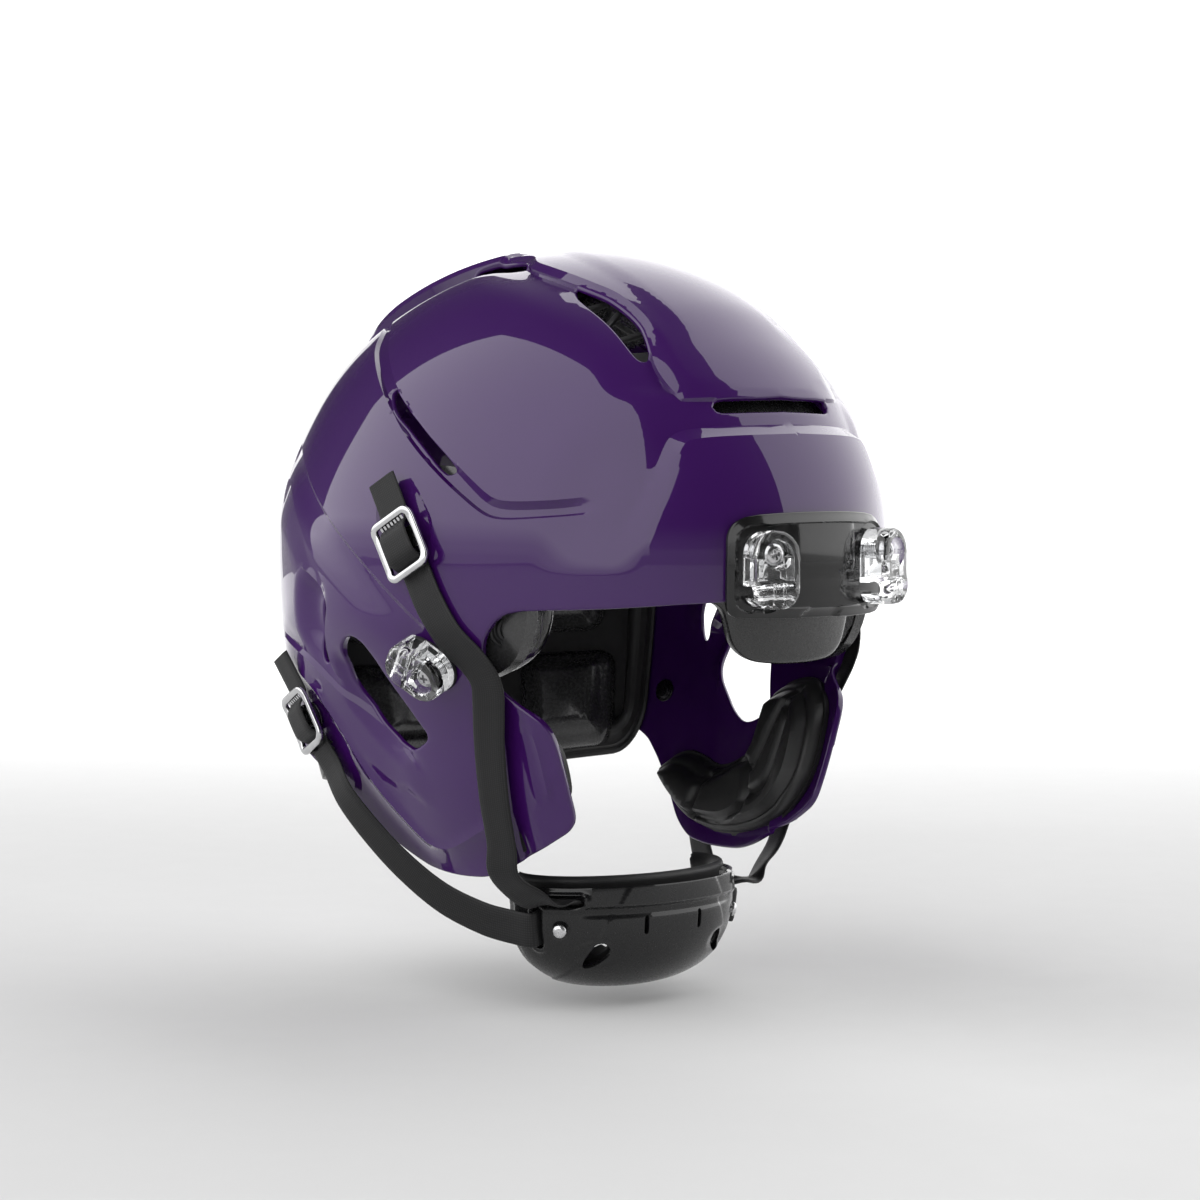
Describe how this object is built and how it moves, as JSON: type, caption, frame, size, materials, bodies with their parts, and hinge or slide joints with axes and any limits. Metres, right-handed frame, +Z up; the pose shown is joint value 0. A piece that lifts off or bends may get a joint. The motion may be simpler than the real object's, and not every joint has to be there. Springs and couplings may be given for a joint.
{
  "type": "football helmet",
  "caption": "Hard domed football helmet with brow bumper, clear faceguard clips, padded liner and a hard chin cup hung on webbing straps with chrome buckles and snaps.",
  "frame": {"origin": "centre of the dome at its widest level, in the middle plane: the middle of the wearer's head", "axes": "+Z up, -Y towards the front (face opening), +X towards the wearer's left; the helmet is symmetric about the YZ plane"},
  "size_m": [0.2564, 0.3163, 0.3165],
  "materials": {
    "shell": "gloss",
    "bumper": "satin",
    "clip_clear": "gloss",
    "gasket": "matte",
    "steel": "satin",
    "snap_metal": "satin",
    "buckle_chrome": "polished",
    "webbing": "matte",
    "cup": "gloss",
    "rivet": "satin",
    "carrier": "satin",
    "pad": "matte"
  },
  "bodies": {
    "helmet": {"shell": "shell", "front_bumper": "bumper", "front_clip_right": "clip_clear", "front_clip_left": "clip_clear", "side_clip_right": "clip_clear", "side_clip_left": "clip_clear", "clip_screws": "steel", "clip_nuts": "steel", "side_clip_gaskets": "gasket", "snap_studs": "steel", "snap_nuts": "steel", "crown_liner": "carrier", "crown_pad": "pad", "front_pad": "pad", "side_pad_right": "pad", "side_pad_left": "pad", "rear_carrier": "carrier", "rear_pad": "pad", "nape_pad": "pad", "jaw_pad_right": "pad", "jaw_pad_left": "pad"},
    "chin_cup": {"chin_cup_shell": "cup", "chin_cup_liner": "pad", "chin_cup_rivets": "rivet", "strap_upper_right": "webbing", "strap_upper_left": "webbing", "strap_lower_right": "webbing", "strap_lower_left": "webbing"},
    "snap_socket_upper_right": {"snap_socket_upper_right": "snap_metal"},
    "buckle_upper_right": {"buckle_upper_right": "buckle_chrome"},
    "snap_socket_upper_left": {"snap_socket_upper_left": "snap_metal"},
    "buckle_upper_left": {"buckle_upper_left": "buckle_chrome"},
    "snap_socket_lower_right": {"snap_socket_lower_right": "snap_metal"},
    "buckle_lower_right": {"buckle_lower_right": "buckle_chrome"},
    "snap_socket_lower_left": {"snap_socket_lower_left": "snap_metal"},
    "buckle_lower_left": {"buckle_lower_left": "buckle_chrome"}
  },
  "joints": [
    {"name": "snap_release_upper_right", "type": "slide", "parent": "helmet", "child": "snap_socket_upper_right", "axis": [-0.9811, -0.1921, 0.0223], "range_m": [0, 0.008]},
    {"name": "buckle_swivel_upper_right", "type": "hinge", "parent": "snap_socket_upper_right", "child": "buckle_upper_right", "pos_m": [-0.1163, -0.038, 0.003], "axis": [-0.9811, -0.1921, 0.0223], "range_deg": [-12, 12]},
    {"name": "snap_release_upper_left", "type": "slide", "parent": "helmet", "child": "snap_socket_upper_left", "axis": [0.9811, -0.1921, 0.0223], "range_m": [0, 0.008]},
    {"name": "buckle_swivel_upper_left", "type": "hinge", "parent": "snap_socket_upper_left", "child": "buckle_upper_left", "pos_m": [0.1163, -0.038, 0.003], "axis": [0.9811, -0.1921, 0.0223], "range_deg": [-12, 12]},
    {"name": "snap_release_lower_right", "type": "slide", "parent": "helmet", "child": "snap_socket_lower_right", "axis": [-0.9658, 0.1082, -0.2358], "range_m": [0, 0.008]},
    {"name": "buckle_swivel_lower_right", "type": "hinge", "parent": "snap_socket_lower_right", "child": "buckle_lower_right", "pos_m": [-0.10191, 0.052, -0.074], "axis": [-0.9658, 0.1082, -0.2358], "range_deg": [-12, 12]},
    {"name": "snap_release_lower_left", "type": "slide", "parent": "helmet", "child": "snap_socket_lower_left", "axis": [0.9658, 0.1082, -0.2358], "range_m": [0, 0.008]},
    {"name": "buckle_swivel_lower_left", "type": "hinge", "parent": "snap_socket_lower_left", "child": "buckle_lower_left", "pos_m": [0.10191, 0.052, -0.074], "axis": [0.9658, 0.1082, -0.2358], "range_deg": [-12, 12]},
    {"name": "chin_cup_swing", "type": "hinge", "parent": "helmet", "child": "chin_cup", "pos_m": [0, -0.044, -0.125], "axis": [1, 0, 0], "range_deg": [-5, 20], "deforming": ["strap_upper_right", "strap_upper_left", "strap_lower_right", "strap_lower_left"]}
  ]
}
